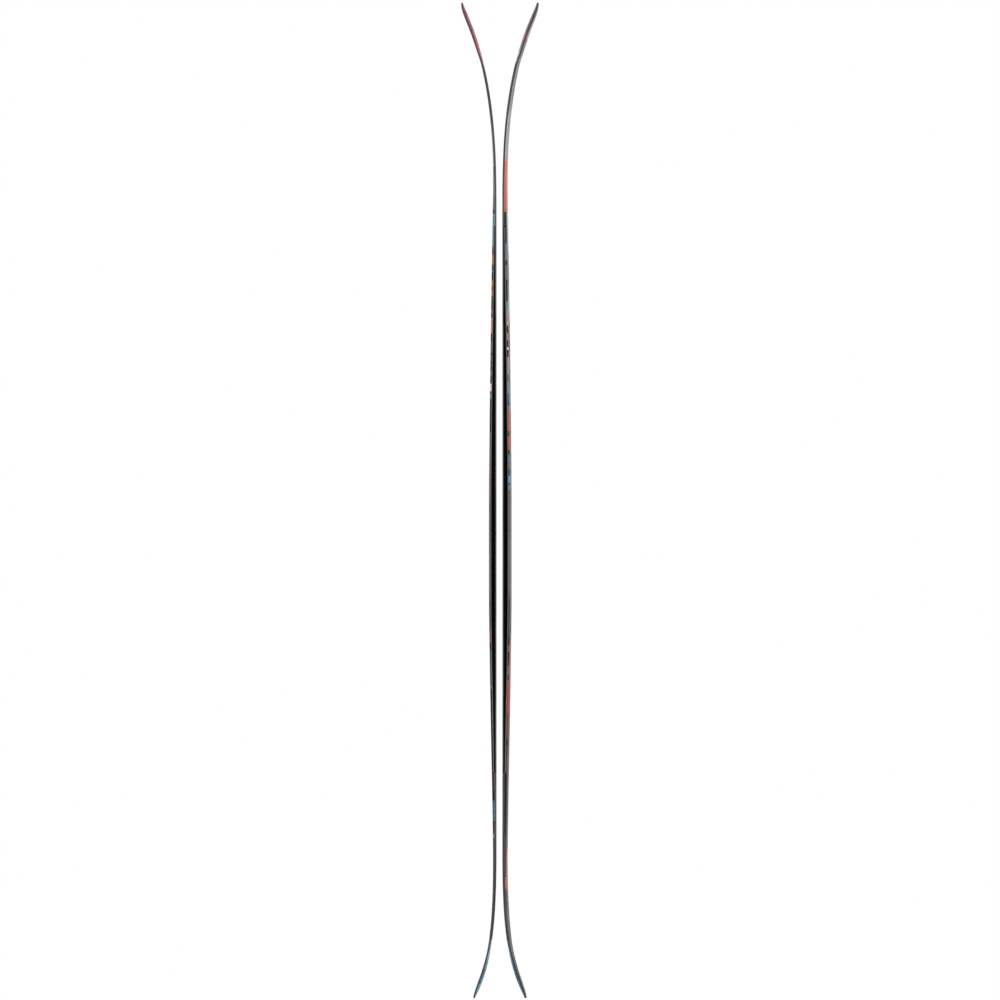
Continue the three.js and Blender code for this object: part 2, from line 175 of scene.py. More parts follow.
def nose_z(tip, q):
    """Stations that crowd towards an end, so that the outline is evenly round."""
    end, wide = (TIP_END, SHOVEL_Z) if tip else (TAIL_END, TAIL_Z)
    return end + (wide - end) * np.asarray(q) ** 2


def run_z(low, high, step):
    """Stations between two heights, crowding at the ends of the ski."""
    tail = nose_z(False, np.linspace(0.016, 1, 54))
    tip = nose_z(True, np.linspace(1, 0.016, 62))
    mid = np.arange(TAIL_Z + step, SHOVEL_Z - 1, step)
    z = np.concatenate([tail, mid, tip])
    z = z[(z > low + 0.2) & (z < high - 0.2)]
    lo = [low] if low > z[0] - 60 and low > TAIL_END + 0.5 else []
    hi = [high] if high < TIP_END - 0.5 else []
    return np.concatenate([lo, z, hi])


# ---------------------------------------------------------------- meshes
def mesh_object(name, points, faces, materials, slots=None, smooth=True, sharp=32):
    me = bpy.data.meshes.new(name)
    me.from_pydata([tuple(p) for p in points], [], [tuple(f) for f in faces])
    for m in materials:
        me.materials.append(m)
    if slots is not None:
        me.polygons.foreach_set("material_index", np.asarray(slots, np.int32))
    me.update()
    ob = bpy.data.objects.new(name, me)
    bpy.context.scene.collection.objects.link(ob)
    me.polygons.foreach_set("use_smooth", [smooth] * len(me.polygons))
    if smooth:
        me.set_sharp_from_angle(angle=math.radians(sharp))
    return ob


def outward(points, faces):
    """The faces, turned over if the closed surface they make is inside out."""
    p = np.asarray(points)
    v = 0.0
    for f in faces:
        a = p[f[0]]
        for i in range(1, len(f) - 1):
            v += np.dot(a, np.cross(p[f[i]], p[f[i + 1]]))
    return faces if v > 0 else [f[::-1] for f in faces]


def sheet_solid(top, bottom):
    """A closed solid between two grids of points. Gives points, faces and edge-face marks."""
    n, m = top.shape[:2]
    points = np.concatenate([top.reshape(-1, 3), bottom.reshape(-1, 3)])
    k = n * m
    faces, marks = [], []
    for i in range(n - 1):
        for j in range(m - 1):
            a, b, c, d = i * m + j, i * m + j + 1, (i + 1) * m + j + 1, (i + 1) * m + j
            faces += [(a, b, c, d), (k + d, k + c, k + b, k + a)]
            marks += [0, 2]
    for i in range(n - 1):
        for j in (0, m - 1):
            a, b = i * m + j, (i + 1) * m + j
            faces.append((b, a, k + a, k + b) if j else (a, b, k + b, k + a))
            marks.append(1)
    for i in (0, n - 1):
        for j in range(m - 1):
            a, b = i * m + j, i * m + j + 1
            faces.append((a, b, k + b, k + a) if i else (b, a, k + a, k + b))
            marks.append(1)
    fixed = outward(points, faces[: 4 * m] + faces[4 * m :])
    return points, fixed, marks


def loft_solid(rings):
    """A closed solid through rings of points, n rings by m corners."""
    n, m = rings.shape[:2]
    points = rings.reshape(-1, 3)
    faces = [(i * m + j, i * m + (j + 1) % m, (i + 1) * m + (j + 1) % m, (i + 1) * m + j)
             for i in range(n - 1) for j in range(m)]
    faces += [tuple(range(m))[::-1], tuple((n - 1) * m + j for j in range(m))]
    return points, outward(points, faces)


def swept(side, name, zs, corners, materials, lifted=False, sharp=32):
    """corners(z) gives [(w, h), ...] arrays over the stations, in order round the section."""
    cs = corners(zs)
    rings = np.stack([place(side, zs, np.broadcast_to(w, zs.shape), np.broadcast_to(h, zs.shape),
                            lifted) for w, h in cs], 1)
    points, faces = loft_solid(rings)
    return mesh_object(name, points, faces, materials, sharp=sharp)


IN_STEPS = np.array([0, 0.12, 0.45, 0.9, 1.5, 2.2, 3.0, 3.8, 4.8, 6.2, 8.5, 12, 17, 25.0])
MID_STEPS = np.array([0.8, 0.6, 0.4, 0.2])


def columns(z, outer=None, steps=IN_STEPS):
    """Columns across the ski at each station: close together near the outline."""
    a = half(z) if outer is None else outer
    reach = steps[-1]
    w = np.maximum(a[:, None] - steps[None], a[:, None] * (1 - steps[None] / (reach * 1.2)))
    core = w[:, -1:] * MID_STEPS[None]
    right = np.concatenate([w, core], 1)
    return np.concatenate([-right, np.zeros((len(z), 1)), right[:, ::-1]], 1)


def bevel_drop(z, d):
    """How far the topsheet lies under the ski's full thickness, d in from the outline."""
    e, b = bevel(z), np.maximum(RIM_IN, 1.2 * bevel(z) + 0.6)
    x, k = 1 - d / b, 0.16
    soft = (x + np.sqrt(x * x + k * k)) / (1 + math.sqrt(1 + k * k))
    edge_round = 0.14 * np.clip(1 - d / 0.4, 0, None) ** 2
    return e * np.where(x > -3, soft, 0) + edge_round


def top_height(z, w):
    return thickness(z) - bevel_drop(z, inset(z, w))


def base_thickness(z):
    return np.minimum(BASE_T, 0.3 * thickness(z))


def on_edges(z):
    return (z >= EDGE_Z[0] - 0.5) & (z <= EDGE_Z[1] + 0.5)


def side_low(z):
    return np.where(on_edges(z), EDGE_H + RUBBER_T + 2 * BOND, base_thickness(z) + 0.1)


# ---------------------------------------------------------------- materials
def srgb(*rgb):
    c = np.array(rgb, float) / 255
    lin = np.where(c <= 0.04045, c / 12.92, ((c + 0.055) / 1.055) ** 2.4)
    return (*[float(v) for v in lin], 1.0)


class Mat:
    """A small helper that wires a procedural material."""

    def __init__(self, name):
        self.m = bpy.data.materials.new(name)
        self.m.use_nodes = True
        self.t = self.m.node_tree
        self.t.nodes.clear()
        self.out = self.t.nodes.new("ShaderNodeOutputMaterial")
        self.b = self.t.nodes.new("ShaderNodeBsdfPrincipled")
        self.t.links.new(self.b.outputs[0], self.out.inputs[0])
        tc = self.t.nodes.new("ShaderNodeTexCoord")
        self.co = tc.outputs["Object"]
        sep = self.node("ShaderNodeSeparateXYZ", self.co)
        self.x, self.y, self.z = sep.outputs[0], sep.outputs[1], sep.outputs[2]

    def node(self, kind, *inputs, **props):
        n = self.t.nodes.new(kind)
        for k, v in props.items():
            setattr(n, k, v)
        for i, v in enumerate(inputs):
            self.put(n, i, v)
        return n

    def put(self, n, key, v):
        if v is None:
            return
        if isinstance(v, bpy.types.NodeSocket):
            self.t.links.new(v, n.inputs[key])
        else:
            n.inputs[key].default_value = v

    def math(self, op, a, b=None, c=None, clamp=False):
        n = self.node("ShaderNodeMath", a, b, c, operation=op, use_clamp=clamp)
        return n.outputs[0]

    def vec(self, x, y, z=0.0):
        return self.node("ShaderNodeCombineXYZ", x, y, z).outputs[0]

    def scaled(self, sx, sy, sz):
        return self.node("ShaderNodeVectorMath", self.co, (sx, sy, sz),
                         operation="MULTIPLY").outputs[0]

    def noise(self, vector, scale=1.0, detail=2.0, rough=0.5, dims="3D", distortion=0.0):
        n = self.node("ShaderNodeTexNoise", noise_dimensions=dims)
        for k, v in (("Vector", vector), ("Scale", scale), ("Detail", detail),
                     ("Roughness", rough), ("Distortion", distortion)):
            self.put(n, k, v)
        return n.outputs["Fac"]

    def voronoi(self, vector, scale=1.0, feature="F1", dims="2D", out="Distance", rnd=1.0):
        n = self.node("ShaderNodeTexVoronoi", voronoi_dimensions=dims, feature=feature)
        for k, v in (("Vector", vector), ("Scale", scale), ("Randomness", rnd)):
            self.put(n, k, v)
        return n.outputs[out]

    def remap(self, v, a, b, c=0.0, d=1.0, smooth=False):
        n = self.node("ShaderNodeMapRange", v, a, b, c, d,
                      interpolation_type="SMOOTHSTEP" if smooth else "LINEAR")
        return n.outputs[0]

    def mix(self, f, a, b, blend="MIX"):
        n = self.node("ShaderNodeMix", data_type="RGBA", blend_type=blend, clamp_factor=True)
        self.put(n, 0, f)
        self.put(n, 6, a)
        self.put(n, 7, b)
        return n.outputs[2]

    def ramp(self, f, stops, interpolation="LINEAR"):
        n = self.node("ShaderNodeValToRGB", f)
        r = n.color_ramp
        r.interpolation = interpolation
        while len(r.elements) > 1:
            r.elements.remove(r.elements[-1])
        r.elements[0].position, r.elements[0].color = stops[0][0], stops[0][1]
        for p, c in stops[1:]:
            e = r.elements.new(p)
            e.color = c
        return n.outputs[0]

    def bands(self, v, segments):
        """Hard colour bands along v. segments: [(start, colour), ...] with rising starts."""
        colour, first = None, 0
        while first < len(segments):
            part = segments[first : first + 30]
            a, b = part[0][0], (segments[first + 30][0] if first + 30 < len(segments)
                                else part[-1][0] + 0.5)
            f = self.remap(v, a, b)
            stops = [(max(0.0, (s - a) / (b - a)), c) for s, c in part]
            made = self.ramp(f, stops, "CONSTANT")
            if colour is None:
                colour = made
            else:
                colour = self.mix(self.math("GREATER_THAN", v, a), colour, made)
            first += 30
        return colour

    def bump(self, height, strength, distance=0.001, normal=None):
        n = self.node("ShaderNodeBump")
        self.put(n, "Height", height)
        self.put(n, "Strength", strength)
        self.put(n, "Distance", distance)
        if normal is not None:
            self.put(n, "Normal", normal)
        return n.outputs[0]

    def set(self, **kw):
        names = {"color": "Base Color", "rough": "Roughness", "metal": "Metallic",
                 "normal": "Normal", "coat": "Coat Weight", "coat_rough": "Coat Roughness",
                 "coat_ior": "Coat IOR", "spec": "Specular IOR Level", "ior": "IOR",
                 "aniso": "Anisotropic", "sheen": "Sheen Weight", "coat_normal": "Coat Normal"}
        for k, v in kw.items():
            self.put(self.b, names[k], v)
        return self.m


# Colour bands from tip to tail as the row in the side view where each starts, and its colour.
def bands_by_row(rows):
    """Rows counted down from the tip, 1.807 mm each, to rising heights in metres."""
    segs = [((998.5 - row) * 1.807e-3, colour) for row, colour in rows]
    out = []
    for i in range(len(segs) - 1, -1, -1):
        start = (segs[i + 1][0] if i + 1 < len(segs) else -0.01)
        out.append((start, srgb(*segs[i][1])))
    return out


LEFT_TOP = [
    (0, (112, 105, 98)), (127, (120, 128, 126)), (132, (130, 150, 150)), (168, (96, 100, 96)),
    (175, (112, 114, 100)), (195, (106, 98, 90)), (210, (22, 22, 24)), (214, (95, 140, 150)),
    (248, (20, 20, 22)), (255, (200, 105, 85)), (266, (24, 22, 24)), (272, (70, 120, 160)),
    (274, (24, 22, 24)), (281, (206, 100, 70)), (288, (120, 44, 38)), (291, (208, 104, 72)),
    (298, (44, 38, 38)), (310, (186, 62, 50)), (314, (34, 30, 30)), (318, (215, 130, 100)),
    (334, (22, 20, 20)), (343, (122, 84, 64)), (353, (22, 20, 20)), (357, (122, 86, 66)),
    (361, (38, 34, 34)), (372, (124, 112, 100)), (376, (34, 32, 32)), (384, (236, 222, 216)),
    (392, (30, 30, 32)), (396, (80, 136, 156)), (400, (20, 20, 22)), (433, (110, 98, 90)),
    (465, (126, 92, 92)), (500, (80, 78, 76)), (557, (132, 102, 106)), (561, (70, 68, 68)),
    (563, (106, 100, 94)), (590, (84, 82, 80)), (600, (62, 62, 62)), (631, (152, 60, 45)),
    (645, (20, 20, 20)), (651, (60, 76, 86)), (687, (50, 120, 150)), (690, (26, 28, 38)),
    (772, (64, 46, 46)), (792, (20, 20, 22)), (803, (60, 100, 116)), (821, (48, 34, 38)),
    (834, (70, 122, 142)), (839, (28, 30, 40)), (890, (84, 80, 78)), (910, (106, 98, 92)),
]
RIGHT_TOP = [
    (0, (150, 145, 142)), (60, (166, 162, 160)), (112, (178, 176, 174)), (163, (206, 112, 76)),
    (184, (216, 92, 60)), (212, (22, 20, 22)), (244, (84, 120, 136)), (262, (20, 20, 22)),
    (266, (112, 102, 94)), (280, (20, 20, 22)), (303, (90, 146, 156)), (311, (150, 146, 156)),
    (323, (226, 150, 142)), (327, (20, 20, 22)), (334, (166, 120, 110)), (341, (22, 20, 20)),
    (348, (232, 228, 224)), (350, (24, 22, 22)), (358, (166, 150, 146)), (375, (96, 96, 98)),
    (383, (120, 142, 156)), (394, (78, 96, 112)), (403, (36, 36, 40)), (407, (192, 92, 72)),
    (432, (22, 20, 20)), (438, (196, 84, 62)), (451, (24, 22, 22)), (455, (104, 120, 132)),
    (471, (60, 68, 76)), (477, (104, 164, 200)), (483, (66, 70, 76)), (487, (100, 150, 180)),
    (490, (104, 100, 98)), (540, (106, 103, 102)), (592, (88, 86, 84)), (600, (52, 52, 52)),
    (621, (40, 70, 76)), (640, (20, 20, 22)), (646, (110, 98, 90)), (652, (22, 22, 22)),
    (667, (112, 86, 84)), (677, (60, 40, 38)), (682, (168, 70, 45)), (713, (122, 62, 52)),
    (740, (20, 20, 20)), (747, (72, 56, 50)), (776, (24, 24, 26)), (838, (56, 66, 72)),
    (850, (34, 32, 34)), (878, (198, 104, 88)), (890, (60, 56, 56)), (910, (100, 95, 92)),
]
# The far edge of the right topsheet, seen past its near one: its print paled by a painted reflection of the white
# surroundings.
RIGHT_FAR_PAINTED_REFLECTION = [
    (0, (186, 182, 180)), (40, (150, 146, 144)), (112, (186, 184, 182)), (163, (250, 142, 122)),
    (184, (250, 150, 132)), (212, (218, 226, 226)), (250, (170, 172, 172)), (266, (140, 140, 140)),
    (284, (170, 184, 190)), (300, (190, 206, 210)), (312, (168, 156, 158)), (327, (60, 58, 60)), (334, (170, 130, 122)),
    (341, (70, 66, 66)), (358, (168, 156, 152)), (376, (110, 110, 114)), (384, (96, 130, 156)),
    (395, (92, 168, 196)), (418, (150, 108, 100)), (438, (186, 116, 98)), (455, (110, 118, 128)),
    (476, (96, 150, 190)), (491, (118, 112, 110)), (592, (92, 88, 86)), (610, (60, 78, 82)),
    (638, (204, 92, 70)), (676, (160, 82, 66)), (713, (120, 70, 62)), (740, (70, 58, 54)),
    (776, (92, 88, 86)), (850, (206, 98, 78)), (890, (84, 78, 72)),
]
# The coloured base ends: tip rows first, then black, then tail rows.
LEFT_BASE = [
    (0, (176, 84, 112)), (17, (205, 82, 108)), (26, (160, 88, 114)), (32, (212, 90, 108)),
    (44, (222, 98, 114)), (51, (226, 112, 126)), (57, (178, 132, 150)), (70, (128, 60, 84)),
    (96, (60, 30, 46)), (112, (22, 22, 24)), (905, (24, 40, 54)), (930, (70, 96, 120)),
    (942, (150, 186, 206)), (955, (140, 178, 198)), (963, (104, 160, 166)), (971, (84, 120, 154)),
    (976, (160, 176, 196)), (978, (90, 120, 162)), (980, (98, 160, 176)), (985, (80, 120, 156)),
    (991, (126, 170, 190)),
]
RIGHT_BASE = [
    (0, (130, 98, 128)), (37, (206, 96, 116)), (44, (124, 146, 152)), (47, (138, 166, 140)),
    (55, (176, 190, 196)), (58, (186, 176, 130)), (64, (96, 92, 74)), (84, (40, 44, 44)),
    (104, (22, 22, 24)), (912, (26, 34, 48)), (932, (62, 80, 108)), (943, (110, 136, 170)),
    (955, (94, 130, 166)), (963, (74, 126, 150)), (970, (56, 116, 146)), (977, (58, 104, 140)),
    (984, (80, 130, 156)),
]
PALETTE = {"left": ((226, 214, 202), (92, 150, 166), (206, 104, 74)),
           "right": ((230, 224, 214), (110, 164, 190), (212, 96, 70))}


def art(mat, rows, side, spread=0.17, seed=0.0, near=(-0.047, -0.022), far_reflection_rows=None):
    """The bands run straight at both edges and break into long shards between them."""
    fade = mat.math("MULTIPLY", mat.remap(mat.y, near[0], near[1], 0.0, 1.0, smooth=True),
                    mat.remap(mat.y, -near[1], -near[0], 1.0, 0.0, smooth=True))
    slant = mat.math("ADD", mat.math("MULTIPLY", mat.z, 5.2),
                     mat.math("MULTIPLY", mat.y, 7.0 if side == "left" else -7.0))
    cell_at = mat.vec(mat.math("MULTIPLY", mat.y, 17.0), mat.math("ADD", slant, seed))
    n = mat.node("ShaderNodeTexVoronoi", voronoi_dimensions="2D", feature="F1")
    mat.put(n, "Vector", cell_at)
    mat.put(n, "Scale", 1.0)
    mat.put(n, "Randomness", 0.9)
    cell = mat.node("ShaderNodeSeparateColor", n.outputs["Color"])
    warp = mat.noise(mat.vec(mat.math("MULTIPLY", mat.y, 9.0), mat.math("MULTIPLY", mat.z, 4.0),
                             seed), 1.0, 2.0, 0.55)
    shift = mat.math("ADD", mat.math("MULTIPLY", mat.math("SUBTRACT", cell.outputs[0], 0.5), spread),
                     mat.math("MULTIPLY", mat.math("SUBTRACT", warp, 0.5), 0.12))
    v = mat.math("ADD", mat.z, mat.math("MULTIPLY", shift, fade))
    colour = mat.bands(v, bands_by_row(rows))
    # past the seam the bands are the print paled by a painted reflection
    if far_reflection_rows:  # the far side has its own bands, past a seam that wanders down the middle
        seam = mat.noise(mat.vec(0.3, mat.math("MULTIPLY", mat.z, 5.0), seed), 1.0, 3.0, 0.6)
        past = mat.math("SUBTRACT", mat.y, mat.remap(seam, 0.3, 0.7, -0.034, -0.002))
        calm = mat.math("ADD", mat.z, mat.math("MULTIPLY", mat.math("SUBTRACT", v, mat.z), 0.15))
        colour = mat.mix(mat.math("GREATER_THAN", past, 0.0), colour,
                         mat.bands(calm, bands_by_row(far_reflection_rows)))
        colour = mat.mix(mat.math("LESS_THAN", mat.math("ABSOLUTE", past), 0.0006), colour,
                         srgb(24, 24, 28))
    # thin dark joints between the shards
    gap = mat.voronoi(cell_at, 1.0, "DISTANCE_TO_EDGE", rnd=0.9)
    line = mat.math("MULTIPLY", mat.math("LESS_THAN", gap, 0.022), fade)
    colour = mat.mix(mat.math("MULTIPLY", line, 0.8), colour, srgb(22, 22, 26))
    return colour, fade, cell, n, v


def make_topsheet(side):
    mat = Mat(f"{side}_printed_topsheet")
    rows = LEFT_TOP if side == "left" else RIGHT_TOP
    seed = 1.7 if side == "left" else 6.3
    colour, fade, cell, _, v = art(mat, rows, side, seed=seed,
                                   far_reflection_rows=RIGHT_FAR_PAINTED_REFLECTION if side == "right" else None)
    pale, cool, warm = (srgb(*c) for c in PALETTE[side])
    # contour lines, as on a map, in some of the shards
    field = mat.noise(mat.vec(mat.math("MULTIPLY", mat.y, 13.0), mat.math("MULTIPLY", mat.z, 6.0),
                              seed + 3), 1.0, 1.0, 0.4)
    wave = mat.math("FRACT", mat.math("MULTIPLY", field, 26.0))
    thin = mat.math("LESS_THAN", wave, 0.13)
    some = mat.math("GREATER_THAN", cell.outputs[1], 0.52)
    lines = mat.math("MULTIPLY", mat.math("MULTIPLY", thin, some), fade)
    colour = mat.mix(mat.math("MULTIPLY", lines, 0.55), colour, pale)
    # halftone dots that grow and shrink down the ski, in other shards
    dots_at = mat.vec(mat.math("MULTIPLY", mat.math("ADD", mat.y, mat.z), 300.0),
                      mat.math("MULTIPLY", mat.math("SUBTRACT", mat.z, mat.y), 300.0))
    dot = mat.voronoi(dots_at, 1.0, rnd=0.0)
    grow = mat.remap(mat.noise(mat.vec(mat.y, mat.z, seed), 9.0, 1.0), 0.3, 0.7, 0.05, 0.42)
    dotted = mat.math("MULTIPLY", mat.math("LESS_THAN", dot, grow),
                      mat.math("LESS_THAN", cell.outputs[1], 0.3))
    colour = mat.mix(mat.math("MULTIPLY", mat.math("MULTIPLY", dotted, fade), 0.5), colour,
                     cool if side == "left" else warm)
    # spatter, in clusters set by noise
    spot_at = mat.vec(mat.math("MULTIPLY", mat.y, 330.0), mat.math("MULTIPLY", mat.z, 260.0))
    spot = mat.node("ShaderNodeTexVoronoi", voronoi_dimensions="2D", feature="F1")
    mat.put(spot, "Vector", spot_at)
    size = mat.node("ShaderNodeSeparateColor", spot.outputs["Color"])
    cluster = mat.remap(mat.noise(mat.vec(mat.y, mat.z, seed + 9), 16.0, 2.0), 0.5, 0.72, 0.0, 0.34)
    flecks = mat.math("LESS_THAN", spot.outputs["Distance"],
                      mat.math("MULTIPLY", size.outputs[2], cluster))
    colour = mat.mix(mat.math("MULTIPLY", flecks, 0.75), colour,
                     mat.mix(size.outputs[0], pale, cool))
    # mounting ticks at the boot centre
    t = mat.math("MULTIPLY", mat.math("SUBTRACT", mat.z, 0.82), 100.0)
    tick = mat.math("LESS_THAN", mat.math("PINGPONG", mat.math("ADD", t, 20.0), 0.5), 0.035)
    near_mid = mat.math("LESS_THAN", mat.math("ABSOLUTE", t), 3.2)
    length = mat.math("ADD", 0.006, mat.math("MULTIPLY",
                      mat.math("LESS_THAN", mat.math("ABSOLUTE", t), 0.2), 0.010))
    across = mat.math("LESS_THAN", mat.math("ABSOLUTE", mat.y), length)
    mark = mat.math("MULTIPLY", mat.math("MULTIPLY", tick, near_mid), across)
    colour = mat.mix(mark, colour, srgb(236, 236, 232))
    # ink density and faint streaks along the ski
    streak = mat.noise(mat.scaled(600.0, 600.0, 5.0), 1.0, 3.0, 0.6)
    cloud = mat.noise(mat.scaled(30.0, 30.0, 14.0), 1.0, 3.0, 0.6)
    value = mat.math("ADD", mat.remap(streak, 0.3, 0.7, 0.93, 1.06),
                     mat.remap(cloud, 0.3, 0.7, -0.05, 0.05))
    grey = mat.node("ShaderNodeCombineColor", value, value, value).outputs[0]
    colour = mat.mix(1.0, colour, grey, "MULTIPLY")
    peel = mat.noise(mat.scaled(420.0, 420.0, 420.0), 1.0, 2.0)
    scratch = mat.math("LESS_THAN", mat.noise(mat.scaled(900.0, 900.0, 22.0), 1.0, 4.0, 0.65), 0.305)
    height = mat.math("SUBTRACT", peel, mat.math("MULTIPLY", scratch, 0.7))
    normal = mat.bump(height, 0.12, 0.0004)
    rough = mat.math("ADD", mat.remap(cloud, 0.3, 0.7, 0.3, 0.4),
                     mat.math("MULTIPLY", scratch, 0.25))
    return mat.set(color=colour, rough=rough, normal=normal, coat=0.05, coat_rough=0.2,
                   spec=0.07)


def make_lip(side):
    """The topsheet's cut edge: pale grey over the sidewalls as a painted highlight, dark or printed over the rims."""
    mat = Mat(f"{side}_topsheet_cut_edge")
    printed = mat.math("MULTIPLY", mat.math("GREATER_THAN", mat.z, 1.394),
                       mat.math("LESS_THAN", mat.z, 1.6))
    printed = mat.math("ADD", printed, mat.math("MULTIPLY", mat.math(
        "GREATER_THAN", mat.z, 0.29), mat.math("LESS_THAN", mat.z, 0.409)))
    painted_highlight_over_wall = mat.math("MULTIPLY", mat.math("GREATER_THAN", mat.z, 0.409),
                         mat.math("LESS_THAN", mat.z, 1.394))
    grain = mat.noise(mat.scaled(500.0, 500.0, 18.0), 1.0, 3.0)
    # pale: a painted highlight along the cap's lower edge over the sidewalls
    pale = mat.ramp(grain, [(0.3, srgb(94, 94, 93)), (0.7, srgb(122, 122, 120))])
    dark = mat.ramp(grain, [(0.3, srgb(68, 68, 68)), (0.7, srgb(80, 80, 79))])
    dark = mat.mix(printed, dark, mat.bands(mat.z, bands_by_row(
        LEFT_TOP if side == "left" else RIGHT_TOP)))
    return mat.set(color=mat.mix(painted_highlight_over_wall, dark, pale), rough=0.5, spec=0.12,
                   normal=mat.bump(grain, 0.15, 0.0004))


def make_base(side):
    """Die-cut sintered base: colour at both ends, black in between, stone-ground all over."""
    mat = Mat(f"{side}_sintered_base")
    rows = LEFT_BASE if side == "left" else RIGHT_BASE
    colour, fade, cell, _, v = art(mat, rows, side, spread=0.13, seed=11.0 if side == "left" else 15.0)
    grind = mat.noise(mat.vec(mat.math("MULTIPLY", mat.y, 2300.0), mat.math("MULTIPLY", mat.z, 9.0)),
                      1.0, 2.0, 0.6)
    cross = mat.noise(mat.vec(mat.math("MULTIPLY", mat.math("ADD", mat.y, mat.math("MULTIPLY", mat.z, 0.12)), 1500.0),
                              mat.math("MULTIPLY", mat.z, 12.0)), 1.0, 1.0)
    speck = mat.noise(mat.scaled(900.0, 900.0, 900.0), 1.0, 3.0, 0.7)
    value = mat.math("ADD", mat.remap(speck, 0.35, 0.65, 0.93, 1.07), mat.remap(grind, 0.3, 0.7, -0.05, 0.05))
    grey = mat.node("ShaderNodeCombineColor", value, value, value).outputs[0]
    colour = mat.mix(1.0, colour, grey, "MULTIPLY")
    height = mat.math("ADD", grind, mat.math("MULTIPLY", cross, 0.5))
    wax = mat.noise(mat.scaled(26.0, 26.0, 9.0), 1.0, 3.0)
    return mat.set(color=colour, rough=mat.remap(wax, 0.3, 0.7, 0.36, 0.52),
                   normal=mat.bump(height, 0.22, 0.0003), spec=0.16)


def make_sidewall():
    mat = Mat("black_abs_sidewall")
    grind = mat.noise(mat.scaled(1500.0, 1500.0, 26.0), 1.0, 3.0, 0.6)
    chatter = mat.noise(mat.scaled(60.0, 60.0, 420.0), 1.0, 2.0)
    colour = mat.ramp(grind, [(0.25, srgb(2, 2, 3)), (0.75, srgb(8, 8, 9))])
    height = mat.math("ADD", grind, mat.math("MULTIPLY", chatter, 0.35))
    return mat.set(color=colour, rough=mat.remap(grind, 0.3, 0.7, 0.42, 0.6),
                   normal=mat.bump(height, 0.25, 0.0003), spec=0.01)


def make_rim():
    mat = Mat("dark_grey_abs_rim")
    grind = mat.noise(mat.scaled(1200.0, 1200.0, 30.0), 1.0, 3.0, 0.6)
    cloud = mat.noise(mat.scaled(60.0, 60.0, 20.0), 1.0, 3.0)
    colour = mat.mix(mat.remap(cloud, 0.3, 0.7, 0.0, 1.0),
                     mat.ramp(grind, [(0.3, srgb(62, 62, 62)), (0.7, srgb(76, 76, 76))]),
                     mat.ramp(grind, [(0.3, srgb(70, 70, 69)), (0.7, srgb(84, 84, 83))]))
    return mat.set(color=colour, rough=mat.remap(cloud, 0.3, 0.7, 0.45, 0.6),
                   normal=mat.bump(grind, 0.22, 0.0003), spec=0.08)


def make_wrap(side, pale):
    """The print where it wraps down over the rims, and a pale painted highlight line along its lower side."""
    mat = Mat(f"{side}_print_over_rim" + ("_painted_highlight_line" if pale else ""))
    grain = mat.noise(mat.scaled(500.0, 500.0, 18.0), 1.0, 3.0)
    value = mat.remap(grain, 0.3, 0.7, 0.9, 1.08)
    grey = mat.node("ShaderNodeCombineColor", value, value, value).outputs[0]
    colour = mat.bands(mat.z, bands_by_row(LEFT_TOP if side == "left" else RIGHT_TOP))
    # painted highlight: a pale grey line mixed into the print just above the rim's lower side
    if pale:
        line = mat.math("MULTIPLY", mat.math("LESS_THAN", mat.z, 1.47),
                        mat.math("GREATER_THAN", mat.z, 0.29))
        colour = mat.mix(mat.math("MULTIPLY", line, 0.6), colour, srgb(168, 168, 166))
    return mat.set(color=mat.mix(1.0, colour, grey, "MULTIPLY"), rough=0.45, spec=0.08,
                   normal=mat.bump(grain, 0.12, 0.0004))


def make_steel():
    mat = Mat("ground_edge_steel")
    along = mat.noise(mat.scaled(2600.0, 2600.0, 16.0), 1.0, 4.0, 0.65)
    filed = mat.noise(mat.scaled(40.0, 40.0, 1400.0), 1.0, 2.0, 0.6)
    tone = mat.noise(mat.scaled(40.0, 40.0, 12.0), 1.0, 3.0)
    colour = mat.ramp(mat.math("ADD", mat.math("MULTIPLY", along, 0.6), mat.math("MULTIPLY", tone, 0.4)),
                      [(0.3, srgb(80, 80, 82)), (0.7, srgb(110, 110, 113))])
    height = mat.math("ADD", along, mat.math("MULTIPLY", filed, 0.5))
    return mat.set(color=colour, metal=1.0, rough=mat.remap(tone, 0.3, 0.7, 0.3, 0.44),
                   normal=mat.bump(height, 0.3, 0.0002), aniso=0.4)


def make_laminate(name, low, high):
    """Cut edges of glass cloth in resin: fine fibres along the ski."""
    mat = Mat(name)
    fibre = mat.noise(mat.scaled(2200.0, 2200.0, 60.0), 1.0, 4.0, 0.7)
    weave = mat.noise(mat.scaled(700.0, 700.0, 700.0), 1.0, 2.0)
    f = mat.math("ADD", mat.math("MULTIPLY", fibre, 0.7), mat.math("MULTIPLY", weave, 0.3))
    colour = mat.ramp(f, [(0.35, low), (0.65, high)])
    return mat.set(color=colour, rough=0.5, normal=mat.bump(f, 0.3, 0.0002), spec=0.12)


def make_rubber():
    mat = Mat("damping_rubber")
    n = mat.noise(mat.scaled(900.0, 900.0, 900.0), 1.0, 3.0)
    return mat.set(color=mat.ramp(n, [(0.3, srgb(14, 14, 14)), (0.7, srgb(26, 26, 26))]),
                   rough=0.85, normal=mat.bump(n, 0.3, 0.0002), spec=0.15)


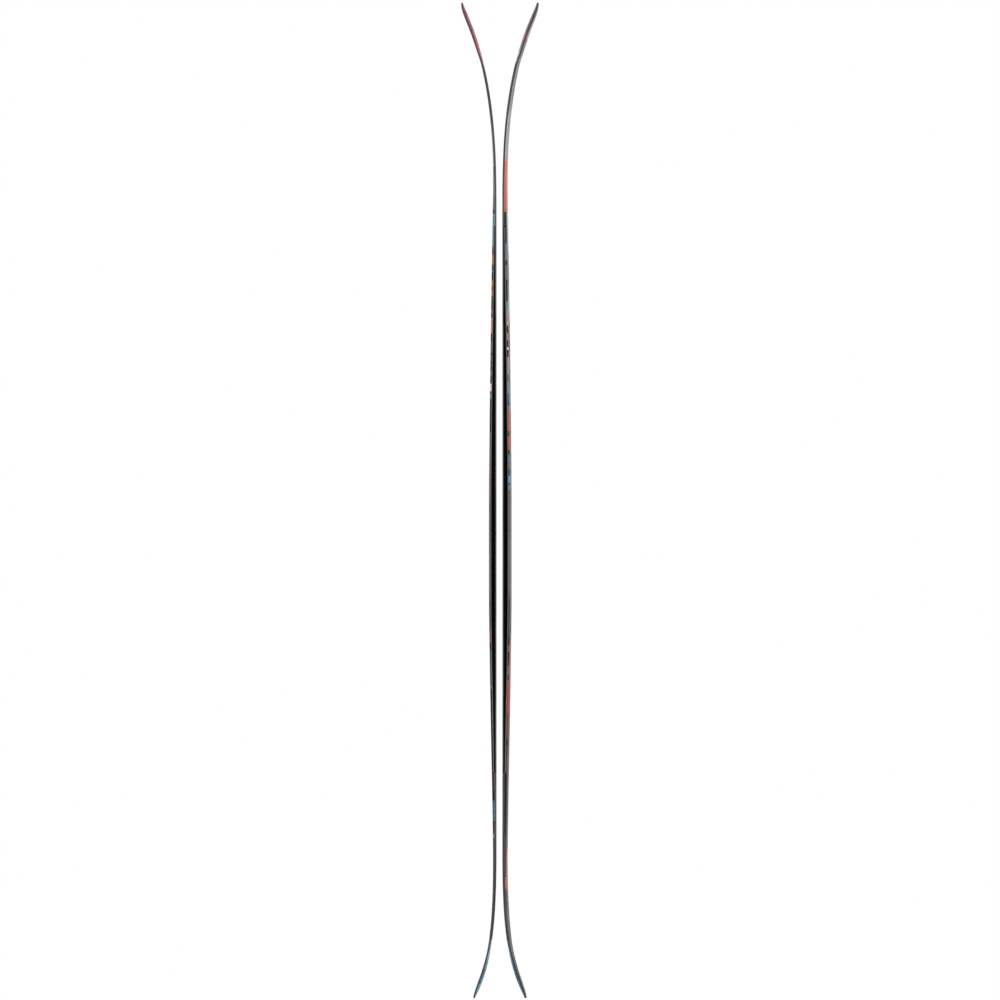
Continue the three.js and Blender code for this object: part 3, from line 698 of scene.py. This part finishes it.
def make_wood(name, low, mid, high, seed):
    mat = Mat(name)
    at = mat.scaled(170.0, 170.0, 5.0)
    ring = mat.noise(at, 1.0, 4.0, 0.6, distortion=0.6)
    pore = mat.noise(mat.scaled(1800.0, 1800.0, 90.0), 1.0, 2.0)
    f = mat.math("FRACT", mat.math("ADD", mat.math("MULTIPLY", ring, 5.0), seed))
    colour = mat.ramp(f, [(0.0, low), (0.5, mid), (0.9, high), (1.0, low)])
    colour = mat.mix(mat.math("MULTIPLY", mat.math("LESS_THAN", pore, 0.38), 0.4), colour, low)
    return mat.set(color=colour, rough=mat.remap(ring, 0.3, 0.7, 0.55, 0.75),
                   normal=mat.bump(pore, 0.2, 0.0002), spec=0.3)


def make_carbon():
    mat = Mat("carbon_tape")
    a = mat.math("FRACT", mat.math("MULTIPLY", mat.math("ADD", mat.y, mat.z), 260.0))
    b = mat.math("FRACT", mat.math("MULTIPLY", mat.math("SUBTRACT", mat.z, mat.y), 260.0))
    check = mat.math("GREATER_THAN", mat.math("MULTIPLY", mat.math("SUBTRACT", a, 0.5),
                                              mat.math("SUBTRACT", b, 0.5)), 0.0)
    fibre = mat.noise(mat.scaled(2600.0, 2600.0, 200.0), 1.0, 2.0)
    colour = mat.mix(check, srgb(22, 23, 25), mat.ramp(fibre, [(0.3, srgb(34, 36, 40)), (0.7, srgb(62, 66, 72))]))
    return mat.set(color=colour, rough=mat.remap(fibre, 0.3, 0.7, 0.3, 0.45),
                   normal=mat.bump(fibre, 0.2, 0.0002))


def make_plate():
    mat = Mat("brushed_alloy_plate")
    brush = mat.noise(mat.scaled(1700.0, 1700.0, 14.0), 1.0, 4.0, 0.7)
    return mat.set(color=mat.ramp(brush, [(0.3, srgb(168, 170, 173)), (0.7, srgb(204, 206, 208))]),
                   metal=1.0, rough=mat.remap(brush, 0.3, 0.7, 0.24, 0.4),
                   normal=mat.bump(brush, 0.15, 0.0002))


def make_spacer():
    mat = Mat("moulded_spacer")
    n = mat.noise(mat.scaled(300.0, 300.0, 300.0), 1.0, 3.0)
    return mat.set(color=mat.ramp(n, [(0.3, srgb(58, 60, 62)), (0.7, srgb(76, 78, 80))]),
                   rough=0.6, normal=mat.bump(n, 0.2, 0.0003))


STEEL, WALL, RIM, RUBBER = make_steel(), make_sidewall(), make_rim(), make_rubber()
GLASS = make_laminate("glass_laminate", srgb(80, 81, 79), srgb(112, 113, 110))
DARK_GLASS = make_laminate("dark_glass_laminate", srgb(9, 9, 10), srgb(20, 20, 21))
PALE_WOOD = make_wood("poplar", srgb(196, 168, 118), srgb(222, 198, 150), srgb(232, 212, 168), 0.0)
DARK_WOOD = make_wood("ash", srgb(150, 112, 68), srgb(182, 144, 94), srgb(198, 164, 114), 0.4)
CARBON, PLATE, SPACER = make_carbon(), make_plate(), make_spacer()


# ---------------------------------------------------------------- pieces of one ski
def keep(piece, side, *nodes, slot):
    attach(piece, f"{side}_ski")
    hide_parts(*nodes)
    return piece


def build_topsheet(side, sheet_mat, lip_mat):
    z = run_z(TAIL_END, TIP_END, 9.0)
    w = columns(z)
    zz = np.broadcast_to(z[:, None], w.shape)
    h = top_height(zz, w)
    top, under = place(side, zz, w, h), place(side, zz, w, h - SHEET_T)
    points, faces, marks = sheet_solid(top, under)
    keep(mesh_object(f"{side}_topsheet_shell", points, faces, [sheet_mat, lip_mat],
                     [1 if m == 1 else 0 for m in marks], sharp=40),
         side, f"{side}_topsheet", slot="topsheet")


def build_base(side, mat):
    slots = {"left": ("base_red", "base_blue"), "right": ("base_violet", "base_slate")}[side]
    steps = np.array([0, 0.1, 0.35, 0.8, 1.6, 2.8, 4.5, 7, 10, 14, 19, 25.0])
    for name, low, high, slot in (("tip", FLAT_Z[1] + 0.2, TIP_END, slots[0]),
                                  ("tail", TAIL_END, FLAT_Z[0] - 0.2, slots[1])):
        z = run_z(low, high, 9.0)
        join = 1676.5 if name == "tip" else 107.5
        z = np.sort(np.concatenate([z, [join - 0.4, join + 0.4]]))
        outer = half(z) - np.where(on_edges(z), EDGE_W + 0.04, 0)
        w = columns(z, outer, steps)
        zz = np.broadcast_to(z[:, None], w.shape)
        d = outer[:, None] - np.abs(w)
        ease = 0.16 * np.clip(1 - d / 0.35, 0, None) ** 2 * ~on_edges(zz)
        t = np.where(on_edges(zz), BASE_T, base_thickness(zz))
        points, faces, _ = sheet_solid(place(side, zz, w, t), place(side, zz, w, ease))
        keep(mesh_object(f"{side}_base_{name}_inlay", points, faces, [mat], sharp=40),
             side, f"{side}_base_{name}", slot=slot)
    z = run_z(FLAT_Z[0], FLAT_Z[1], 12.0)
    c = half(z) - EDGE_W - 0.04
    w = c[:, None] * np.linspace(-1, 1, 13)[None]
    zz = np.broadcast_to(z[:, None], w.shape)
    points, faces, _ = sheet_solid(place(side, zz, w, np.full(w.shape, BASE_T), False),
                                   place(side, zz, w, np.zeros(w.shape), False))
    keep(mesh_object(f"{side}_base_running_strip", points, faces, [mat]),
         side, f"{side}_base_center", slot="base_black")


def build_edges(side):
    zs = run_z(EDGE_Z[0], EDGE_Z[1], 9.0)
    for place_name, s in (("near", -1), ("far", 1)):
        def corners(z, s=s):
            a = half(z)
            fl = EDGE_H - FLANGE_T
            c = 0.16
            pts = [(a - EDGE_W, 0.0), (a - 0.5, 0.0), (a - c, 0.02), (a - 0.03, c), (a, 0.6),
                   (a, EDGE_H - c), (a - c, EDGE_H), (a - FLANGE_IN + c, EDGE_H),
                   (a - FLANGE_IN, EDGE_H - c), (a - FLANGE_IN, fl + 0.1), (a - EDGE_W - 0.1, fl),
                   (a - EDGE_W, fl - 0.12)]
            return [(s * w, np.full(z.shape, h)) for w, h in pts]
        keep(swept(side, f"{side}_edge_bar_{place_name}", zs, corners, [STEEL], sharp=30),
             side, f"{side}_steel_edge_{place_name}", slot="steel")

        def strip(z, s=s):
            a = half(z)
            lo, hi = EDGE_H + 0.02, EDGE_H + 2 * BOND + RUBBER_T - 0.02
            return [(s * (a - 7), np.full(z.shape, lo)), (s * (a - 0.12), np.full(z.shape, lo)),
                    (s * (a - 0.08), np.full(z.shape, (lo + hi) / 2)),
                    (s * (a - 0.12), np.full(z.shape, hi)), (s * (a - 7), np.full(z.shape, hi))]
        keep(swept(side, f"{side}_damping_foil_{place_name}", run_z(112, 1672, 12.0), strip, [RUBBER]),
             side, f"{side}_rubber_strip_{place_name}", slot="rubber")


def wall_top(z):
    """Height of the sidewall's outer top corner."""
    return thickness(z) - SHEET_T - LAM_T - LIP_T - bevel(z) - 0.05


def build_sidewalls(side):
    zs = run_z(WALL_Z[0], WALL_Z[1], 9.0)
    for place_name, s in (("near", -1), ("far", 1)):
        def corners(z, s=s):
            a, b = half(z), half(z) - np.maximum(RIM_IN, 1.2 * bevel(z) + 0.6)
            low = EDGE_H + RUBBER_T + 2 * BOND + LAM_T + 0.02
            top, inner = wall_top(z), thickness(z) - SHEET_T - LAM_T - 0.12
            c = 0.18
            return [(s * (a - SIDEWALL_IN), np.full(z.shape, low)),
                    (s * (a - c), np.full(z.shape, low)), (s * a, np.full(z.shape, low + c)),
                    (s * (a - 0.05), top - c), (s * (a - 0.05 - c), top),
                    (s * b, np.minimum(inner, top + bevel(z) + LIP_T - 0.1)),
                    (s * (a - SIDEWALL_IN), inner)]
        keep(swept(side, f"{side}_wall_strip_{place_name}", zs, corners, [WALL], sharp=30),
             side, f"{side}_sidewall_{place_name}", slot="sidewall")


def build_laminates(side):
    # the middle run shows its edges; beyond it both sheets hide inside the rims
    fine = np.arange(416, 1390, 12.0)
    ends_lo, ends_hi = [12.5, 18, 32, 50, 72, 96, 104, 108, 135, 165, 200, 235, 260, 330, 408], \
        [1396, 1460, 1520, 1524, 1564, 1600, 1640, 1676, 1680, 1712, 1740, 1762, 1779, 1787]
    zs = np.array(ends_lo + [409.1] + list(fine) + [1393.9] + ends_hi, float)
    walls = (zs > 408.9) & (zs < 1394.1)

    def line_b(z):
        a = half(z)
        return np.maximum(half(z, np.maximum(RIM_IN, 1.2 * bevel(z) + 0.6), RIM_NOSE), 0.55 * a)

    def top(z):
        e, b = bevel(z), line_b(z)
        hi, lo = thickness(z) - SHEET_T - 0.02, thickness(z) - SHEET_T - 0.02 - LAM_T
        c = np.maximum(half(z, 14), 0.5 * b)
        a = np.where(walls, half(z) - 0.02, b - 0.25)
        m = np.where(walls, b, b - 0.75)
        edge_hi, edge_lo = np.where(walls, hi - e, hi - 0.2), np.where(walls, lo - e - LIP_T, lo)
        right_top = [(a, edge_hi), (m, hi - np.where(walls, 0.12, 0.25)), (c, hi - 0.1), (0 * a, hi - 0.1)]
        right_low = [(0 * a, lo), (c, lo), (m, lo - np.where(walls, 0.1, 0.1)), (a, edge_lo)]
        left = [(-w, h) for w, h in right_top[::-1][1:]] + [(-w, h) for w, h in right_low[::-1][:-1]]
        return right_low + right_top + left

    def bottom(z):
        edge = on_edges(z)
        lo = np.where(edge, BASE_T, base_thickness(z)) + 0.12
        step = np.where(edge, EDGE_H + RUBBER_T + 2 * BOND, lo + 0.02)
        b = line_b(z)
        a = np.where(walls, half(z) - 0.02, b - 0.25)
        s1 = np.where(edge, half(z) - 7.4, a - 0.35)
        s2 = np.where(edge, half(z) - 7.8, a - 0.7)
        low = [(0 * a, lo), (s2, lo), (s1, step), (a, step)]
        high = [(a, step + LAM_T), (s1, step + LAM_T), (s2, lo + LAM_T), (0 * a, lo + LAM_T)]
        left = [(-w, h) for w, h in high[::-1][1:]] + [(-w, h) for w, h in low[::-1][:-1]]
        return low + high + left

    keep(swept(side, f"{side}_upper_glass", zs, top, [GLASS], lifted=True, sharp=25),
         side, f"{side}_top_laminate", slot="glass_laminate")
    keep(swept(side, f"{side}_lower_glass", zs, bottom, [DARK_GLASS], lifted=True, sharp=25),
         side, f"{side}_bottom_laminate", slot="dark_laminate")


# How far up the rim's outside stays plain before the painted highlight line and the print start, above its lower side.
PLAIN_RIM = [[288, 9], [292, 0.1], [409, 0.1], [1394, 0.25], [1443, 0.35], [1480, 0.5],
             [1514, 0.75], [1550, 0.9], [1586, 1.1], [1602, 1.2], [1606, 9]]


def build_rims(side):
    # the second wrap carries the pale painted highlight line
    wrap, line = make_wrap(side, False), make_wrap(side, True)
    for tip in (True, False):
        run = np.arange(1396, SHOVEL_Z, 12.0) if tip else np.arange(408, TAIL_Z, -12.0)
        z = np.concatenate([run, nose_z(tip, np.linspace(1, 0.016, 60))])
        a = half(z)
        step = np.where(on_edges(z), 1.0, 0.0)
        flip = np.nonzero(np.diff(step))[0]
        for f in flip[::-1]:  # a crisp step where the steel edge ends
            at = 1676.5 if tip else 107.5
            extra = [at - 0.6, at + 0.6] if tip else [at + 0.6, at - 0.6]
            z = np.concatenate([z[: f + 1], extra, z[f + 1 :]])
        a = half(z)
        # plan normals of the outline, pointing in
        dz, dw = np.gradient(z), np.gradient(a)
        nz, nw = (dw, -dz) if tip else (-dw, dz)
        n = np.hypot(nz, nw)
        nz, nw = nz / n, nw / n
        end = TIP_END if tip else TAIL_END
        back = 1 if tip else -1
        path_z = np.concatenate([z, [end - back * 0.04], z[::-1]])
        path_w = np.concatenate([a, [0.0], -a[::-1]])
        path_nz = np.concatenate([nz, [-back], nz[::-1]])
        path_nw = np.concatenate([nw, [0.0], -nw[::-1]])
        wide = RIM_IN + (RIM_NOSE - RIM_IN) * np.clip(
            1 - np.abs(end - path_z) / 22.0, 0, 1) ** 1.5
        rings = []
        low = side_low(path_z)
        for inn, level in ((0.0, "low_out"), (0.0, "plain_out"), (0.0, "painted_line_out"),
                           (0.0, "high_out"), (0.4, "high"), (0.5, "high"),
                           (1.0, "high"), (1.0, "low")):
            if level == "high" and inn == 0.4:
                dist = np.full(path_z.shape, 0.4)
            elif level.endswith("out"):
                dist = np.full(path_z.shape, 0.0)
            else:
                dist = wide * inn
            pz, pw = path_z + path_nz * dist, path_w + path_nw * dist
            if level.startswith("low"):
                h = low + (0.1 if level == "low_out" else 0.0)
            else:
                h = top_height(pz, pw) - SHEET_T - 0.03
                if level in ("plain_out", "painted_line_out"):
                    plain = np.interp(path_z, *np.transpose(PLAIN_RIM))
                    up = plain + (0.0 if level == "plain_out" else 0.55)
                    h = np.minimum(low + 0.1 + up, h - (0.04 if level == "plain_out" else 0.02))
            rings.append(place(side, pz, pw, h))
        m = len(rings)
        points, faces = loft_solid(np.stack(rings, 1))
        # faces between the plain ring and the painted-line ring take the painted highlight line, those above take the
        # print
        slots = [{1: 1, 2: 2}.get(k % m, 0) for k in range(len(faces) - 2)] + [0, 0]
        name = "tip" if tip else "tail"
        keep(mesh_object(f"{side}_{name}_rim_band", points, faces, [RIM, line, wrap], slots,
                         sharp=35),
             side, f"{side}_{name}_rim", slot="rim")


for SIDE in ("left", "right"):
    build_topsheet(SIDE, make_topsheet(SIDE), make_lip(SIDE))
    build_base(SIDE, make_base(SIDE))
    build_edges(SIDE)
    build_sidewalls(SIDE)
    build_laminates(SIDE)
    build_rims(SIDE)
    for NODE, MAT in (("binding_plate", PLATE), ("carbon_stringer", CARBON),
                      ("tip_spacer", SPACER), ("tail_spacer", SPACER),
                      *((f"core_stave_{i}", DARK_WOOD if i % 2 == 0 else PALE_WOOD)
                        for i in range(1, 6))):
        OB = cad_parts[f"{SIDE}_{NODE}"]
        OB.data.materials.clear()
        OB.data.materials.append(MAT)


# ---------------------------------------------------------------- floor, light, camera
def pale_floor():
    """A pale floor that fades out into the white surroundings."""
    rings, steps = 24, 96
    points = [(0, 0, 0)] + [(3.0 * r / rings * math.cos(2 * math.pi * i / steps),
                             3.0 * r / rings * math.sin(2 * math.pi * i / steps), 0)
                            for r in range(1, rings + 1) for i in range(steps)]
    faces = [(0, 1 + i, 1 + (i + 1) % steps) for i in range(steps)]
    for r in range(rings - 1):
        a0, b0 = 1 + r * steps, 1 + (r + 1) * steps
        faces += [(a0 + i, b0 + i, b0 + (i + 1) % steps, a0 + (i + 1) % steps)
                  for i in range(steps)]
    me = bpy.data.meshes.new("floor")
    me.from_pydata(points, [], faces)
    mat = Mat("pale_floor")
    n = mat.noise(mat.scaled(3.0, 3.0, 3.0), 1.0, 3.0)
    me.materials.append(mat.set(color=mat.ramp(n, [(0.3, (0.84, 0.84, 0.84, 1)),
                                                   (0.7, (0.87, 0.87, 0.87, 1))]),
                                rough=0.8, spec=0.1))
    away = mat.node("ShaderNodeVectorMath", mat.co, operation="LENGTH").outputs["Value"]
    clear = mat.node("ShaderNodeBsdfTransparent")
    fade = mat.node("ShaderNodeMixShader", mat.remap(away, 0.35, 2.6, 0.0, 1.0, smooth=True),
                    mat.b.outputs[0], clear.outputs[0])
    mat.t.links.new(fade.outputs[0], mat.out.inputs[0])
    ob = bpy.data.objects.new("floor", me)
    ob.location.z = CAD_LO.z - 0.0004
    bpy.context.scene.collection.objects.link(ob)


pale_floor()

scene = bpy.context.scene
scene.view_settings.view_transform = "Standard"
scene.view_settings.look = "None"
world = bpy.data.worlds.new("studio")
scene.world = world
world.use_nodes = True
wt = world.node_tree
wt.nodes.clear()
w_out = wt.nodes.new("ShaderNodeOutputWorld")
w_mix = wt.nodes.new("ShaderNodeMixShader")
w_path = wt.nodes.new("ShaderNodeLightPath")
w_seen, w_light = wt.nodes.new("ShaderNodeBackground"), wt.nodes.new("ShaderNodeBackground")
w_seen.inputs[0].default_value, w_seen.inputs[1].default_value = (1, 1, 1, 1), 1.0
w_light.inputs[0].default_value, w_light.inputs[1].default_value = (1, 1, 1, 1), 0.36
wt.links.new(w_path.outputs["Is Camera Ray"], w_mix.inputs[0])
wt.links.new(w_light.outputs[0], w_mix.inputs[1])
wt.links.new(w_seen.outputs[0], w_mix.inputs[2])
wt.links.new(w_mix.outputs[0], w_out.inputs[0])


def area(name, at, aim, size, power):
    data = bpy.data.lights.new(name, "AREA")
    data.shape, data.size, data.size_y, data.energy = "RECTANGLE", size[0], size[1], power
    ob = bpy.data.objects.new(name, data)
    ob.location = at
    ob.rotation_mode = "QUATERNION"
    ob.rotation_quaternion = (Vector(aim) - Vector(at)).to_track_quat("-Z", "Y")
    scene.collection.objects.link(ob)


MID = Vector((0, 0, 0.9))
area("key", (-1.9, -3.1, 2.0), MID, (1.3, 2.2), 50)
area("fill", (2.0, -3.0, 1.4), MID, (1.3, 2.2), 46)
area("left_side", (-2.9, 2.7, 1.8), MID, (2.0, 2.8), 48)
area("right_side", (2.9, 2.7, 1.8), MID, (2.0, 2.8), 48)
area("above", (0.0, 0.0, 5.2), MID, (2.4, 2.4), 50)

AZ = math.radians(0.9)
cam = bpy.data.cameras.new("camera")
cam.type = "ORTHO"
cam.ortho_scale = 1.807
cam_ob = bpy.data.objects.new("camera", cam)
scene.collection.objects.link(cam_ob)
BACK = Vector((math.sin(AZ), -math.cos(AZ), 0))
RIGHT = Vector((math.cos(AZ), math.sin(AZ), 0))
cam_ob.location = BACK * 3.0 + Vector((0, 0, 0.9008)) + RIGHT * 0.00016
cam_ob.rotation_mode = "QUATERNION"
cam_ob.rotation_quaternion = (-BACK).to_track_quat("-Z", "Y")
cam.clip_start, cam.clip_end = 0.01, 50
scene.camera = cam_ob
